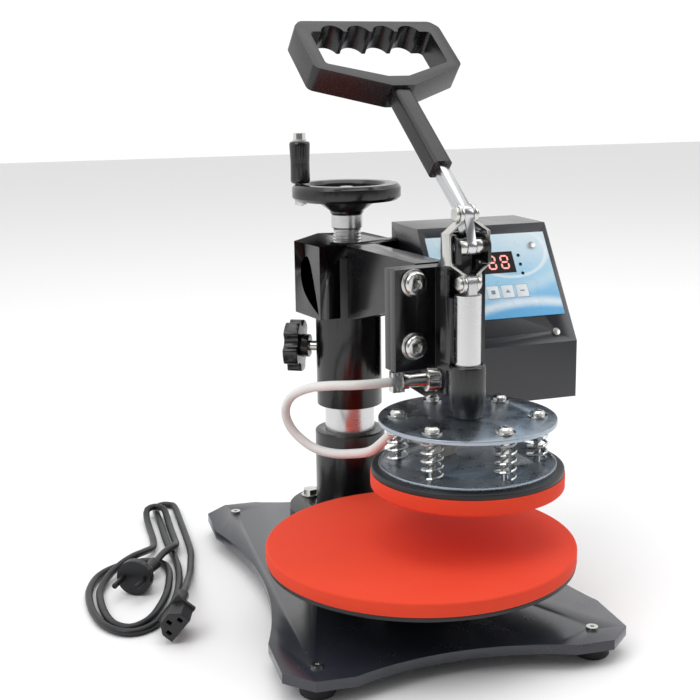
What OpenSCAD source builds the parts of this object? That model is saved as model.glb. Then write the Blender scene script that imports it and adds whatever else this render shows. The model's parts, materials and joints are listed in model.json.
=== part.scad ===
/* [Base] */
// Width of the base plate across its ears
base_w = 272; // [240:1:330]
// Thickness of the base plate
plate_t = 8; // [6:0.5:12]
// Distance between the front and back mounting holes
hole_span_y = 340; // [325:1:410]
// Margin of the plate in front of and behind its holes
hole_margin = 24; // [20:1:30]
// Depth of the hollow sweep in each side of the plate
side_scoop = 20; // [12:1:24]
// Height of a rubber foot
foot_h = 13; // [8:1:20]
// Diameter of a rubber foot
foot_d = 27; // [22:1:32]

/* [Column] */
// Diameter of the polished shaft
shaft_d = 47.4; // [40:0.2:57]
// Wall of the lower tube that holds the shaft
tube_wall = 9.8; // [6:0.2:12]
// Height of the lower tube above its flange
tube_h = 76; // [60:1:84]
// Diameter of the column's bolted flange
flange_d = 120; // [114:1:126]
// Radial play of the sleeve bushes on the shaft
shaft_play = 0.05; // [0.03:0.01:0.08]

/* [Arm] */
// How far the arm is swung from the middle of the base, in degrees
arm_swing = 11; // [0:1:30]
// Distance from the column to the plunger
throat = 216; // [206:1:260]
// Height of the top of the arm above the floor
arm_top = 288; // [284:1:345]
// Wall of the sleeve
sleeve_wall = 7.3; // [5.5:0.1:9]
// Thickness of the arm's web
web_t = 28; // [20:1:32]
// Distance between the guide plate's bolts, both ways
guide_pitch = 52; // [48:1:56]

/* [Head] */
// Diameter of the lower pad
lower_pad_d = 250; // [210:1:300]
// Thickness of the lower pad
lower_pad_t = 11; // [8:0.5:12]
// Diameter of the heated pad
upper_pad_d = 157; // [148:1:188]
// Thickness of the heated pad
upper_pad_t = 13; // [9:0.5:13]
// Diameter of the two spring plates
spring_plate_d = 143.4; // [138:0.2:147]
// Radius of the circle of spring bolts
spring_pcd_r = 56; // [52:0.5:59]
// Number of spring bolts
spring_count = 6; // [4:1:6]
// Outer diameter of a spring
spring_d = 18; // [14:0.5:20]
// Wire diameter of a spring
spring_wire = 2.4; // [1.8:0.1:2.8]

/* [Handwheel] */
// Diameter of the handwheel
wheel_d = 100.8; // [86:0.2:121]
// Height of the handwheel's rim
rim_h = 15; // [10:1:18]
// Diameter of the adjusting screw
screw_d = 26.4; // [22:0.2:32]
// Length of the crank grip
crank_h = 38; // [30:1:46]

/* [Control box] */
// Width of the control box
box_w = 127.5; // [122:0.5:154]
// Wall of the control box
box_wall = 2; // [1.5:0.1:2.5]
// Width of a control button
button_w = 11.8; // [9:0.2:12.4]

/* [Hidden] */
$fn = 48;

// Place of the column's axis in the part's frame
column_x = -22.6;
column_y = 135.95;
// Small radial play of a screw in its clearance hole
hole_play = 0.25;
// Gap between pieces of different bodies that slide past each other
slide_gap = 0.3;

// Base
hole_span_x = base_w - 54;
plate_z0 = foot_h;
plate_z1 = foot_h + plate_t;
back_hole_y = 33;
front_hole_y = back_hole_y - hole_span_y;
base_front = front_hole_y - hole_margin;
base_back = back_hole_y + hole_margin;
base_mid_y = (base_front + base_back) / 2;
corner_cut = 20;
ear_len = 70;
foot_screw_r = 2.5;
flange_t = 10;
flange_z1 = plate_z1 + flange_t;
column_bolt_r = 4;
column_bolt_ring = max(flange_d / 2 - 13, shaft_d / 2 + tube_wall + 10);
flange_r = column_bolt_ring + 13;

// Column
shaft_r = shaft_d / 2;
tube_r = shaft_r + tube_wall;
tube_z1 = flange_z1 + tube_h;
shaft_z1 = arm_top - 38;
washer_t = 4;
sleeve_z0 = 133;
bush_wall = 2.3;
bush_h = 24;
bore_r = shaft_r + shaft_play + bush_wall;
sleeve_r = shaft_r + sleeve_wall;
block_h = 67.5;
block_z0 = arm_top - block_h;
block_roof = 12;
block_wall = 6;
block_outline = [
    [-42, 28], [-40, -24], [14, -24], [16, -24], [42.6, -20], [44.6, -3], [44, 54], [2, 70]
];
block_centre = [2, 14];
shoulder_h = 30;

// Adjusting screw and handwheel
screw_r = screw_d / 2;
screw_play = 0.08;
thread_pitch = 3;
thread_depth = 1.1;
screw_z0 = shaft_z1 + washer_t;
collar_z0 = arm_top + 13;
collar_z1 = collar_z0 + 13;
collar_r = screw_r + 1.3;
rim_z0 = collar_z1 + 13;
rim_z1 = rim_z0 + rim_h;
rim_w = 15.8;
wheel_r = wheel_d / 2;
hub_r = collar_r + 0.5;
hub_z1 = collar_z1 + 17;
spigot_r = 6;
crank_angle = 154;
crank_ring = wheel_r - rim_w / 2;
crank_r = 9.6;
crank_core_r = 3;

// Web and guide
web_x = web_t / 2;
web_z0 = arm_top - 49;
web_root_z0 = arm_top - 67;
arm_flange_w = 85;
arm_flange_z0 = arm_top - 85;
arm_flange_t = 9;
guide_plate_t = 9;
guide_front = throat - 42;
arm_flange_front = guide_front - guide_plate_t;
arm_flange_back = arm_flange_front - arm_flange_t;
guide_mid_z = arm_top - 38.5;
guide_bolt_r = 6;
channel_w = 30;
channel_wall = 3;
channel_front = throat - 2.4;
channel_back = channel_front - 15;
boss_z1 = 214;
channel_z0 = boss_z1 + 1;
channel_z1 = arm_top + 8;
spine_z0 = arm_flange_z0 + 2;
rod_r = 10.6;
slot_half = rod_r + 0.15;
ear_front = throat + 10;
ear_r = 10;
spine_t = 10;

// Toggle
pivot_z = arm_top + 20;
crank_back = 5;
crank_up = 25;
pin_z = arm_top - 9;
upper_pin_y = -(throat - crank_back);
upper_pin_z = pivot_z + crank_up;
bar_w = 8;
bar_d = 12;
pin_r = 4;
link_t = 3.2;
link_in = bar_w / 2 + slide_gap;
bulge_in = channel_w / 2 + 0.6;
link_w = 12;
link_end_r = 7.5;
rivet_t = 2.6;
lever_tilt = 40;
grip_depth = 24;
stem_start = 50;
stem_end = 141;
stem_w = 17;
stem_d = 18;
grip_low = 139;
grip_knee = 163;
grip_top = 222;
grip_half = 70;
grip_shift = -3;
finger_pitch = 24.5;
finger_r = 11;

// Head stack
plate3 = 3.5;
top_plate_z1 = 171;
top_plate_z0 = top_plate_z1 - plate3;
lower_plate_z0 = 131.5;
lower_plate_z1 = 134.5;
heater_z0 = lower_plate_z0 - 4.8;
pad_z0 = heater_z0 - upper_pad_t;
boss_r = 14.8;
rod_z0 = 182;
rod_z1 = pin_z - 9;
tongue_t = bar_w;
tongue_w = 15;
bolt_shank_r = 2.9;
washer_r = 8;
pan_r = 5.8;
platen_z0 = 57.5;
platen_t = 3.5;
platen_r = lower_pad_d / 2 - 0.5;
pad_seat_z = platen_z0 + platen_t;
pedestal_r = 25;
terminal_turn = 106;
terminal_z = lower_plate_z1 + 6;

// Control box, in the frame of its back left edge
box_turn = -7.2;
box_corner = [45.6, -2.8];
box_top_z = arm_top + 15.5;
box_knee_z = arm_top - 84;
box_low_z = arm_top - 135.5;
box_top_d = 64.5;
box_knee_d = 131;
slope_angle = atan2(box_top_z - box_knee_z, box_knee_d - box_top_d);
fascia_t = 0.8;
fascia_margin = 5;
fascia_from = 10;
fascia_to = 93;
window_w = 44;
window_from = 28;
window_to = 49;
button_from = 61;
button_len = 13;
button_pitch = 14.4;
button_mid = box_w / 2 + 1.25;
button_rise = 1.2;
button_play = 0.3;
led_x = box_w / 2 + window_w / 2 + 5.75;
led_from = 32.5;
led_step = 9;
led_r = 1.5;
slope_screws = [[18.5, 110], [box_w - 18.5, 110], [20.5, 23], [box_w - 20.5, 23]];
plug_y = -115;
plug_z = box_low_z + 25.5;
inlet_x = 32;
switch_x = box_w - 39.5;
rear_z = box_low_z + 37.5;
back_screws = [40, 70];
slope_screw_r = 1.4;

// Cords
mains_d = 6.5;
mains_sides = 10;
mains_route = [
    [-208, -6, 16.6], [-203, 14, 13], [-198, 38, 9], [-192, 66, 5], [-187, 96, 3.5],
    [-183, 130, 3.5], [-182, 200, 3.5], [-182, 250, 3.5], [-185, 258, 3.5], [-192, 262, 3.5],
    [-199, 258, 3.5], [-202, 250, 3.5], [-202, 200, 3.5], [-202, 150, 3.5], [-200, 112, 3.5],
    [-200, 84, 3.5], [-203, 56, 3.5], [-208, 30, 3.5], [-216, 4, 3.5], [-227, -18, 3.5],
    [-240, -33, 3.5], [-254, -37, 3.5], [-267, -28, 3.5], [-277, -8, 3.5], [-282, 24, 3.5],
    [-281, 58, 3.5], [-271, 88, 3.5], [-254, 105, 3.5], [-236, 111, 3.5], [-221, 109, 3.5],
    [-211, 98, 3.5], [-209, 80, 3.5], [-212, 56, 3.5], [-217, 32, 3.5], [-225, 8, 3.5],
    [-234, -12, 3.5], [-244, -24, 3.5], [-254, -28, 3.5], [-264, -20, 3.5], [-270, -3, 3.5],
    [-273, 24, 3.5], [-272, 54, 3.5], [-263, 79, 6], [-250, 95, 10], [-238, 110, 10],
    [-226, 124, 8], [-217, 140, 5], [-214, 165, 3.5], [-214, 200, 3.5], [-214, 222, 6],
    [-212, 233, 10], [-204, 239, 10.5], [-196, 233, 10], [-194, 222, 6], [-194, 200, 3.5],
    [-194, 160, 3.5], [-195, 140, 6], [-199, 124, 10], [-210, 108, 11], [-221, 86, 10.5]
];
mains_step = 20;
lead_d = 8.4;
lead_sides = 10;
lead_step = 9;
lead_route = [
    [-14, -111, plug_z], [-26, -110, plug_z], [-44, -102, plug_z - 1], [-60, -82, plug_z - 4],
    [-70, -60, plug_z - 10], [-78, -42, 158], [-81, -33, 144], [-78, -32, 130],
    [-71, -38, 118], [-61, -52, 109], [-51, -72, 108], [-42, -92, 112],
    [-34, 106 - throat, 118], [-28, 92 - throat, 130], [-24.4, 84 - throat, 138.5],
    [-22.1, 77 - throat, terminal_z], [-20.2, 70.5 - throat, terminal_z]
];

// A Catmull-Rom point between b and c at share t
function smooth(a, b, c, d, t) =
    0.5 * (2 * b + (c - a) * t + (2 * a - 5 * b + 4 * c - d) * t * t
        + (3 * b - a - 3 * c + d) * t * t * t);

// The points of a route, about one every step
function fine(route, step) = [
    for (i = [0 : len(route) - 2])
        let (a = route[max(i - 1, 0)], b = route[i], c = route[i + 1])
            let (d = route[min(i + 2, len(route) - 1)])
                let (parts = max(1, round(norm(c - b) / step)))
                    for (k = [0 : parts - 1])
                        smooth(a, b, c, d, k / parts),
    route[len(route) - 1]
];

// A tube of round section swept along points
module tube(points, d, sides) {
    last = len(points) - 1;
    rings = [
        for (i = [0 : last])
            let (along = points[min(i + 1, last)] - points[max(i - 1, 0)])
                let (side = [-along[1], along[0], 0] / norm([along[0], along[1], 0]))
                    let (up = cross(along, side) / norm(cross(along, side)))
                        for (k = [0 : sides - 1])
                            points[i] + d / 2 * (cos(360 * k / sides) * side + sin(360 * k / sides) * up)
    ];
    walls = [
        for (i = [0 : last - 1])
            for (k = [0 : sides - 1])
                [
                    i * sides + k, i * sides + (k + 1) % sides,
                    (i + 1) * sides + (k + 1) % sides, (i + 1) * sides + k
                ]
    ];
    start = [for (k = [sides - 1 : -1 : 0]) k];
    end = [for (k = [0 : sides - 1]) last * sides + k];
    polyhedron(points = rings, faces = concat([start], walls, [end]));
}

// A ring or washer from z0 to z1
module ring(r_out, r_in, z0, z1) {
    translate([0, 0, z0]) difference() {
        cylinder(r = r_out, h = z1 - z0);
        translate([0, 0, -1]) cylinder(r = r_in, h = z1 - z0 + 2);
    }
}

// A rod from z0 to z1
module rod(r, z0, z1) {
    translate([0, 0, z0]) cylinder(r = r, h = z1 - z0);
}

// A box given by its two corners
module block(low, high) {
    translate(low) cube(high - low);
}

// Its children stand on the column's axis
module at_column() {
    translate([column_x, column_y, 0]) children();
}

// Its children are drawn with the arm pointing straight to the front
module at_arm() {
    at_column() rotate([0, 0, arm_swing]) children();
}

// Its children stand on the plunger's axis
module at_plunger() {
    at_arm() translate([0, -throat, 0]) children();
}

// Its children are drawn from the control box's back left edge
module at_box() {
    at_arm() translate([box_corner[0], box_corner[1], 0]) rotate([0, 0, box_turn]) children();
}

// Its children lie on the box's sloped face: x across, y down the slope, z outwards
module at_slope() {
    at_box() translate([0, -box_top_d, box_top_z])
        rotate([slope_angle, 0, 0]) mirror([0, 1, 0]) children();
}

// Its children stand at the four corners of the mounting holes
module at_feet() {
    at_column()
        for (x = [-1, 1])
            for (y = [back_hole_y, front_hole_y])
                translate([x * hole_span_x / 2, y, 0]) children();
}

// Its children stand at the column flange's bolts
module at_column_bolts() {
    at_column()
        for (a = [45 : 90 : 315])
            rotate([0, 0, a]) translate([column_bolt_ring, 0, 0]) children();
}

// Its children stand at the spring bolts
module at_springs() {
    at_plunger()
        for (i = [0 : spring_count - 1])
            rotate([0, 0, 360 * i / spring_count - 90]) translate([spring_pcd_r, 0, 0]) children();
}

// Its children point along +Z from the guide plate's four bolt holes
module at_guide_bolts() {
    at_arm()
        for (x = [-1, 1])
            for (z = [-1, 1])
                translate([x * guide_pitch / 2, -guide_front, guide_mid_z + z * guide_pitch / 2])
                    rotate([90, 0, 0]) children();
}

// Outline of the base plate, with cut corners and four hollow sides
module base_outline() {
    half = base_w / 2;
    side_chord = (base_back - base_front) / 2 - ear_len;
    side_r = (side_chord * side_chord + side_scoop * side_scoop) / (2 * side_scoop);
    end_scoop = side_scoop - 3;
    end_chord = half - 50;
    end_r = (end_chord * end_chord + end_scoop * end_scoop) / (2 * end_scoop);
    difference() {
        polygon([
            [-half + corner_cut, base_front], [half - corner_cut, base_front],
            [half, base_front + corner_cut], [half, base_back - corner_cut],
            [half - corner_cut, base_back], [-half + corner_cut, base_back],
            [-half, base_back - corner_cut], [-half, base_front + corner_cut]
        ]);
        for (s = [-1, 1])
            translate([s * (half - side_scoop + side_r), base_mid_y]) circle(r = side_r, $fn = 180);
        translate([0, base_front + end_scoop - end_r]) circle(r = end_r, $fn = 180);
        translate([0, base_back - end_scoop + end_r]) circle(r = end_r, $fn = 180);
    }
}

module base_plate() {
    color("#2b2e36") difference() {
        translate([0, 0, plate_z0]) at_column() linear_extrude(height = plate_t) base_outline();
        at_feet() rod(foot_screw_r + hole_play, plate_z0 - 1, plate_z1 + 1);
        at_column_bolts() rod(column_bolt_r, plate_z0 - 1, plate_z1 + 1);
    }
}

module rubber_feet() {
    color("#1b1b1d") at_feet() difference() {
        rotate_extrude() polygon([
            [0, 0], [foot_d / 2 - 1.5, 0], [foot_d / 2, 1.5], [foot_d / 2 - 1, foot_h], [0, foot_h]
        ]);
        rod(foot_screw_r, 4, foot_h + 1);
    }
}

module foot_screws() {
    color("#3a3c42") at_feet() {
        rod(foot_screw_r, 4, plate_z1);
        translate([0, 0, plate_z1]) difference() {
            cylinder(r = 4.6, h = 1.6);
            translate([0, 0, 0.8]) cylinder(r = 1.6, h = 2);
        }
    }
}

module column_flange() {
    color("#15161a") difference() {
        at_column() ring(flange_r, tube_r, plate_z1, flange_z1);
        at_column_bolts() rod(column_bolt_r + hole_play, plate_z1 - 1, flange_z1 + 1);
    }
}

module column_bolts() {
    color("#c9ccd2") at_column_bolts() {
        rod(column_bolt_r, plate_z0 + 1, flange_z1);
        ring(9, column_bolt_r, flange_z1, flange_z1 + 1.5);
        rod(column_bolt_r, flange_z1, flange_z1 + 2);
        translate([0, 0, flange_z1 + 1.5]) cylinder(r = 7.4, h = 5.3, $fn = 6);
    }
}

module column_tube() {
    color("#15161a") at_column() rotate_extrude() polygon([
        [shaft_r, plate_z1], [tube_r, plate_z1], [tube_r, tube_z1 - 1],
        [tube_r - 1, tube_z1], [shaft_r, tube_z1]
    ]);
}

module column_shaft() {
    color("#c4c5c8") at_column() rotate_extrude() polygon([
        [0, plate_z1], [shaft_r, plate_z1], [shaft_r, shaft_z1 - 2], [shaft_r - 2, shaft_z1],
        [0, shaft_z1]
    ]);
}

module pedestal() {
    color("#15161a") at_column() translate([0, -throat, 0]) {
        rod(pedestal_r, plate_z1, platen_z0);
        rod(pedestal_r + 18, plate_z1, plate_z1 + 5);
        rod(pedestal_r + 25, platen_z0 - 5, platen_z0);
    }
}

module lower_platen() {
    color("#17181b") at_column() translate([0, -throat, 0]) rod(platen_r, platen_z0, pad_seat_z);
}

module lower_pad() {
    color("#e8492f") at_column() translate([0, -throat, 0]) rotate_extrude($fn = 120) polygon([
        [0, pad_seat_z], [lower_pad_d / 2, pad_seat_z],
        [lower_pad_d / 2, pad_seat_z + lower_pad_t - 1.2],
        [lower_pad_d / 2 - 1.2, pad_seat_z + lower_pad_t], [0, pad_seat_z + lower_pad_t]
    ]);
}

module mains_cord() {
    color("#26272b") tube(fine(mains_route, mains_step), mains_d, mains_sides);
}

// A tapered strain relief along -X that ends at the origin
module relief(length) {
    rotate([0, -90, 0]) rotate_extrude() polygon([
        [0, 0], [mains_d / 2 + 0.9, 0], [mains_d / 2 + 2.6, length], [0, length]
    ]);
}

module mains_connector() {
    color("#222327") translate(mains_route[0])
        rotate([0, 0, -105]) rotate([50, 0, 0]) {
            translate([24, 0, 0]) relief(24);
            difference() {
                hull() {
                    translate([24, -9, -7]) cube([4, 18, 14]);
                    translate([34, -13.5, -9.5]) cube([4, 27, 19]);
                }
                translate([33, 0, 0]) cube([2, 40, 40]);
            }
            difference() {
                translate([36, 0, 0]) rotate([90, 0, 90]) linear_extrude(height = 22)
                    polygon([
                        [-12, -8.5], [12, -8.5], [12, 1], [5.5, 8.5], [-5.5, 8.5], [-12, 1]
                    ]);
                for (p = [[-7, -2], [7, -2], [0, 3.4]])
                    translate([44, p[0] - 1.3, p[1] - 2.2]) cube([20, 2.6, 4.4]);
            }
        }
}

module wall_plug() {
    translate(mains_route[len(mains_route) - 1]) rotate([0, 0, 242]) {
        color("#2a2b30") {
            translate([22, 0, 0]) relief(22);
            hull() {
                translate([22, -7, -6]) cube([2, 14, 12]);
                translate([40, 0, 5.5]) rotate([0, 90, 0]) cylinder(r = 15.5, h = 2, $fn = 32);
            }
            translate([42, 0, 5.5]) rotate([0, 90, 0]) cylinder(r = 15.5, h = 6);
        }
        color("#c9a64b")
            for (s = [-1, 1])
                translate([48, s * 9.5, 5.5]) rotate([0, 90, 0]) cylinder(r = 2.4, h = 19);
    }
}

module thrust_washer() {
    color("#b08d4a") at_column() rod(16, shaft_z1 + 0.05, screw_z0 - 0.05);
}

module adjust_screw() {
    turns = floor((collar_z0 - screw_z0 - 2) / thread_pitch);
    color("#bfc1c5") at_column() rotate_extrude() polygon(concat(
        [[0, screw_z0], [screw_r - 2, screw_z0]],
        [
            for (i = [0 : turns - 1])
                for (p = [[thread_depth, 0.15], [0, 1.2], [0, 1.7], [thread_depth, 2.8]])
                    [screw_r - p[0], screw_z0 + 2 + i * thread_pitch + p[1]]
        ],
        [
            [screw_r - thread_depth, collar_z0], [collar_r - 0.8, collar_z0],
            [collar_r, collar_z0 + 0.8], [collar_r, collar_z1 - 0.8],
            [collar_r - 0.8, collar_z1], [spigot_r, collar_z1], [spigot_r, hub_z1 + 8],
            [0, hub_z1 + 8]
        ]
    ));
}

module handwheel() {
    color("#1a1b1e") at_column() difference() {
        rotate_extrude($fn = 96) polygon([
            [spigot_r, collar_z1], [hub_r, collar_z1], [hub_r + 1, collar_z1 + 3],
            [wheel_r - rim_w - 2, rim_z0 + 2], [wheel_r - rim_w + 2, rim_z0],
            [wheel_r - 3, rim_z0], [wheel_r, rim_z0 + 3], [wheel_r, rim_z1 - 3],
            [wheel_r - 3, rim_z1], [wheel_r - rim_w + 3, rim_z1],
            [wheel_r - rim_w, rim_z1 - 3], [wheel_r - rim_w, rim_z0 + 7],
            [hub_r + 1, collar_z1 + 10], [hub_r - 2, hub_z1], [spigot_r, hub_z1]
        ]);
        rotate([0, 0, arm_swing + crank_angle]) translate([crank_ring, 0, 0])
            rod(crank_core_r + 0.05, rim_z0 - 1, rim_z1 + 1);
    }
}

module wheel_nut() {
    color("#c9ccd2") at_column() {
        ring(9.5, spigot_r, hub_z1, hub_z1 + 1.5);
        difference() {
            translate([0, 0, hub_z1 + 1.5]) cylinder(r = 9, h = 5, $fn = 6);
            rod(spigot_r, hub_z1 - 1, hub_z1 + 9);
        }
    }
}

// Its children stand on the crank grip's axis
module at_crank() {
    at_arm() rotate([0, 0, crank_angle]) translate([crank_ring, 0, 0]) children();
}

module crank_grip() {
    grip_z0 = rim_z1 + 0.6;
    color("#1a1b1e") at_crank() rotate_extrude() polygon([
        [crank_core_r + 0.07, grip_z0], [crank_r - 1.6, grip_z0], [crank_r - 0.6, grip_z0 + 2],
        [crank_r - 0.8, grip_z0 + crank_h / 2], [crank_r, grip_z0 + crank_h - 2],
        [crank_r - 1, grip_z0 + crank_h], [crank_core_r + 0.07, grip_z0 + crank_h]
    ]);
}

module crank_bolt() {
    head_z0 = rim_z1 + 0.6 + crank_h + 0.4;
    color("#c9ccd2") at_crank() {
        rod(crank_core_r, rim_z0 - 5, head_z0 + 1);
        ring(6.6, crank_core_r, head_z0, head_z0 + 1.4);
        translate([0, 0, head_z0 + 1.4]) cylinder(r = 5.6, h = 6, $fn = 6);
        translate([0, 0, rim_z0 - 4.5]) cylinder(r = 5.6, h = 4.5, $fn = 6);
    }
}

module arm_sleeve() {
    color("#15161a") difference() {
        at_arm() union() {
            rod(sleeve_r, sleeve_z0, arm_top - block_roof);
            rotate_extrude() polygon([
                [0, block_z0 - 1], [sleeve_r, block_z0 - 1], [sleeve_r, block_z0 + 1],
                [sleeve_r - 7, block_z0 + shoulder_h], [0, block_z0 + shoulder_h]
            ]);
        }
        at_column() rod(bore_r, sleeve_z0 - 1, arm_top);
        at_lock() rod(5.05, 0, 60);
    }
}

module sleeve_bushes() {
    color("#b59b5e") at_column()
        for (z = [sleeve_z0 + 1, shaft_z1 - bush_h - 6])
            ring(bore_r, shaft_r + shaft_play, z, z + bush_h);
}

// Plan of the arm block, brought in by a wall
module block_plan(inset) {
    share = 1 - inset / 45;
    polygon([for (p = block_outline) block_centre + (p - block_centre) * share]);
}

module arm_block() {
    color("#15161a") at_arm() {
        difference() {
            union() {
                translate([0, 0, block_z0]) linear_extrude(height = block_h) block_plan(0);
                translate([box_corner[0], box_corner[1], 0]) rotate([0, 0, box_turn])
                    block([-14, 0, block_z0 + 4], [82, 6, arm_top]);
            }
            translate([0, 0, block_z0 - 1])
                linear_extrude(height = block_h - block_roof + 1) block_plan(block_wall);
            rod(sleeve_r, block_z0 - 1, arm_top - block_roof);
            rod(screw_r + screw_play, block_z0, arm_top + 1);
            translate([box_corner[0], box_corner[1], 0]) rotate([0, 0, box_turn])
                for (x = back_screws)
                    translate([x, -1, arm_top - 30]) rotate([-90, 0, 0]) cylinder(r = 2, h = 9);
        }
    }
}

module arm_web() {
    color("#15161a") at_arm() difference() {
        translate([-web_x, 0, 0]) rotate([90, 0, 90]) linear_extrude(height = web_t)
            polygon([
                [-24, web_root_z0], [-24, arm_top], [-arm_flange_back, arm_top],
                [-arm_flange_back, web_z0], [-108, web_z0], [-38, web_root_z0]
            ]);
        block([-web_x + 5, -arm_flange_back + 6, web_root_z0 - 5], [web_x - 5, -30, arm_top - 8]);
        rod(sleeve_r, web_root_z0 - 1, arm_top + 1);
    }
}

module arm_flange() {
    color("#15161a") difference() {
        at_arm() block(
            [-arm_flange_w / 2, -arm_flange_front, arm_flange_z0],
            [arm_flange_w / 2, -arm_flange_back, arm_top - 1]
        );
        at_guide_bolts() rod(guide_bolt_r + hole_play, -40, 10);
    }
}

module guide_bolts() {
    color("#d0d2d6") at_guide_bolts() {
        rod(guide_bolt_r, -guide_plate_t - arm_flange_t - 12, 0.5);
        ring(11.4, guide_bolt_r, 0, 1.6);
        difference() {
            translate([0, 0, 1.6]) rotate_extrude() polygon([
                [0, 0], [9.8, 0], [9.8, 4.2], [8.2, 6], [0, 6]
            ]);
            translate([0, 0, 5]) cylinder(r = 3.4, h = 4, $fn = 6);
        }
        translate([0, 0, -guide_plate_t - arm_flange_t - 10]) cylinder(r = 10, h = 10, $fn = 6);
    }
}

// Outline of the guide channel seen from the side: forwards, then up
module channel_side() {
    difference() {
        union() {
            translate([channel_back, channel_z0])
                square([channel_front - channel_back, pivot_z - channel_z0]);
            translate([channel_back, channel_z1])
                square([ear_front - channel_back, pivot_z - channel_z1]);
            translate([throat, pivot_z]) circle(r = ear_r);
            translate([channel_back, pivot_z]) square([throat - channel_back, ear_r]);
        }
        translate([throat - 8, rod_z1 - 2]) square([40, channel_z1 - rod_z1 + 2]);
    }
}

module guide_channel() {
    half = channel_w / 2;
    color("#17181c") difference() {
        union() {
            at_arm() {
                block(
                    [-arm_flange_w / 2, -guide_front, arm_flange_z0],
                    [arm_flange_w / 2, -arm_flange_front, arm_top - 1]
                );
                translate([-spine_t / 2, 0, 0]) rotate([90, 0, 90])
                    mirror([1, 0, 0]) linear_extrude(height = spine_t) polygon([
                        [guide_front, arm_flange_z0], [channel_back, spine_z0],
                        [channel_back, pivot_z + 6], [guide_front, arm_top - 2]
                    ]);
                difference() {
                    translate([-half, 0, 0]) rotate([90, 0, 90]) mirror([1, 0, 0])
                        linear_extrude(height = channel_w) channel_side();
                    block(
                        [-half + channel_wall, -channel_front + channel_wall, channel_z0 - 1],
                        [half - channel_wall, -channel_back - channel_wall, pivot_z + 20]
                    );
                    block(
                        [-slot_half, -throat - 20, channel_z0 - 1],
                        [slot_half, -channel_back - channel_wall, pivot_z + 20]
                    );
                    block(
                        [-half + channel_wall, -throat - 20, channel_z1 - 1],
                        [half - channel_wall, -channel_back - channel_wall, pivot_z + 20]
                    );
                }
            }
        }
        at_guide_bolts() rod(guide_bolt_r + hole_play, -40, 10);
        at_plunger() translate([-half - 1, 0, pivot_z]) rotate([0, 90, 0])
            cylinder(r = pin_r, h = channel_w + 2);
    }
}

module pivot_pin() {
    half = channel_w / 2;
    color("#cfd1d5") at_plunger() translate([0, 0, pivot_z]) rotate([0, 90, 0]) {
        rod(pin_r, -half, half);
        for (s = [0, 1])
            mirror([0, 0, s]) ring(6.5, pin_r, bar_w / 2 + slide_gap, half - channel_wall);
    }
}

// Its children stand on the lock knob's axis, which points away from the column
module at_lock() {
    at_arm() rotate([0, 0, 142]) translate([0, 0, 187]) rotate([0, 90, 0]) children();
}

module lock_knob() {
    knob_from = sleeve_r + 7;
    color("#1d1f22") at_lock() translate([0, 0, knob_from]) {
        difference() {
            union() {
                cylinder(r = 11, h = 8);
                translate([0, 0, 7]) linear_extrude(height = 14) difference() {
                    offset(r = 3) difference() {
                        circle(r = 22, $fn = 40);
                        for (a = [36 : 72 : 359])
                            rotate(a) translate([26, 0]) circle(r = 10, $fn = 32);
                    }
                    circle(r = 5);
                }
            }
            translate([0, 0, -1]) cylinder(r = 5, h = 9);
        }
        translate([0, 0, 19]) cylinder(r = 9, h = 3.5);
    }
}

module lock_screw() {
    color("#bfc1c5") at_lock() rod(5, shaft_r + 4.4, sleeve_r + 22);
}

module clamp_shoe() {
    color("#b08d4a") at_lock() rod(4, shaft_r + 0.9, shaft_r + 4.3);
}

// Its children are drawn from the upper pin: y to the back, z up
module at_upper_pin() {
    at_arm() translate([0, upper_pin_y, upper_pin_z]) children();
}

// Its children point along the lever: x across, y off its upper face, z outwards
module at_lever() {
    at_upper_pin() rotate([-(90 - lever_tilt), 0, 0]) children();
}

module lever_bar() {
    color("#c6c8cc") difference() {
        union() {
            at_plunger() translate([-bar_w / 2, 0, pivot_z]) rotate([90, 0, 90])
                linear_extrude(height = bar_w) union() {
                    circle(r = 7);
                    polygon([
                        [-6.5, 0], [6.5, 0], [crank_back + 6, crank_up], [crank_back - 6, crank_up]
                    ]);
                }
            at_upper_pin() rotate([0, 90, 0]) rod(7, -bar_w / 2, bar_w / 2);
            at_lever() block([-bar_w / 2, -bar_d / 2, 0], [bar_w / 2, bar_d / 2, stem_start + 40]);
        }
        at_plunger() translate([-20, 0, pivot_z]) rotate([0, 90, 0])
            cylinder(r = pin_r + 0.05, h = 40);
        at_upper_pin() translate([-20, 0, 0]) rotate([0, 90, 0])
            cylinder(r = pin_r, h = 40);
    }
}

// Outline of the grip's loop, and of its finger opening with four finger hollows
module grip_outline() {
    mid = -grip_shift;
    translate([grip_shift, 0]) difference() {
        offset(r = 7) polygon([
            [mid - 9, grip_low + 6], [mid + 9, grip_low + 6], [grip_half - 7, grip_knee + 4],
            [grip_half - 7, grip_top - 10], [grip_half - 10, grip_top - 7],
            [-grip_half + 10, grip_top - 7], [-grip_half + 7, grip_top - 10],
            [-grip_half + 7, grip_knee + 4]
        ]);
        offset(r = 4) polygon([
            [mid - 9, grip_low + 15], [mid + 9, grip_low + 15], [grip_half - 16, grip_knee + 7],
            [grip_half - 16, grip_top - 18], [-grip_half + 16, grip_top - 18],
            [-grip_half + 16, grip_knee + 7]
        ]);
        for (i = [-1.5 : 1 : 1.5])
            translate([i * finger_pitch, grip_top - finger_r - 6]) circle(r = finger_r);
    }
}

module lever_grip() {
    color("#17181b") difference() {
        at_lever() {
            rotate([90, 0, 0]) translate([0, 0, -grip_depth / 2])
                linear_extrude(height = grip_depth) grip_outline();
            translate([0, 0, stem_start]) linear_extrude(height = stem_end + 6 - stem_start)
                offset(r = 4) square([stem_w - 8, stem_d - 8], center = true);
        }
        at_lever() block([-bar_w / 2, -bar_d / 2, stem_start - 1], [bar_w / 2, bar_d / 2, stem_start + 40]);
    }
}

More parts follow.
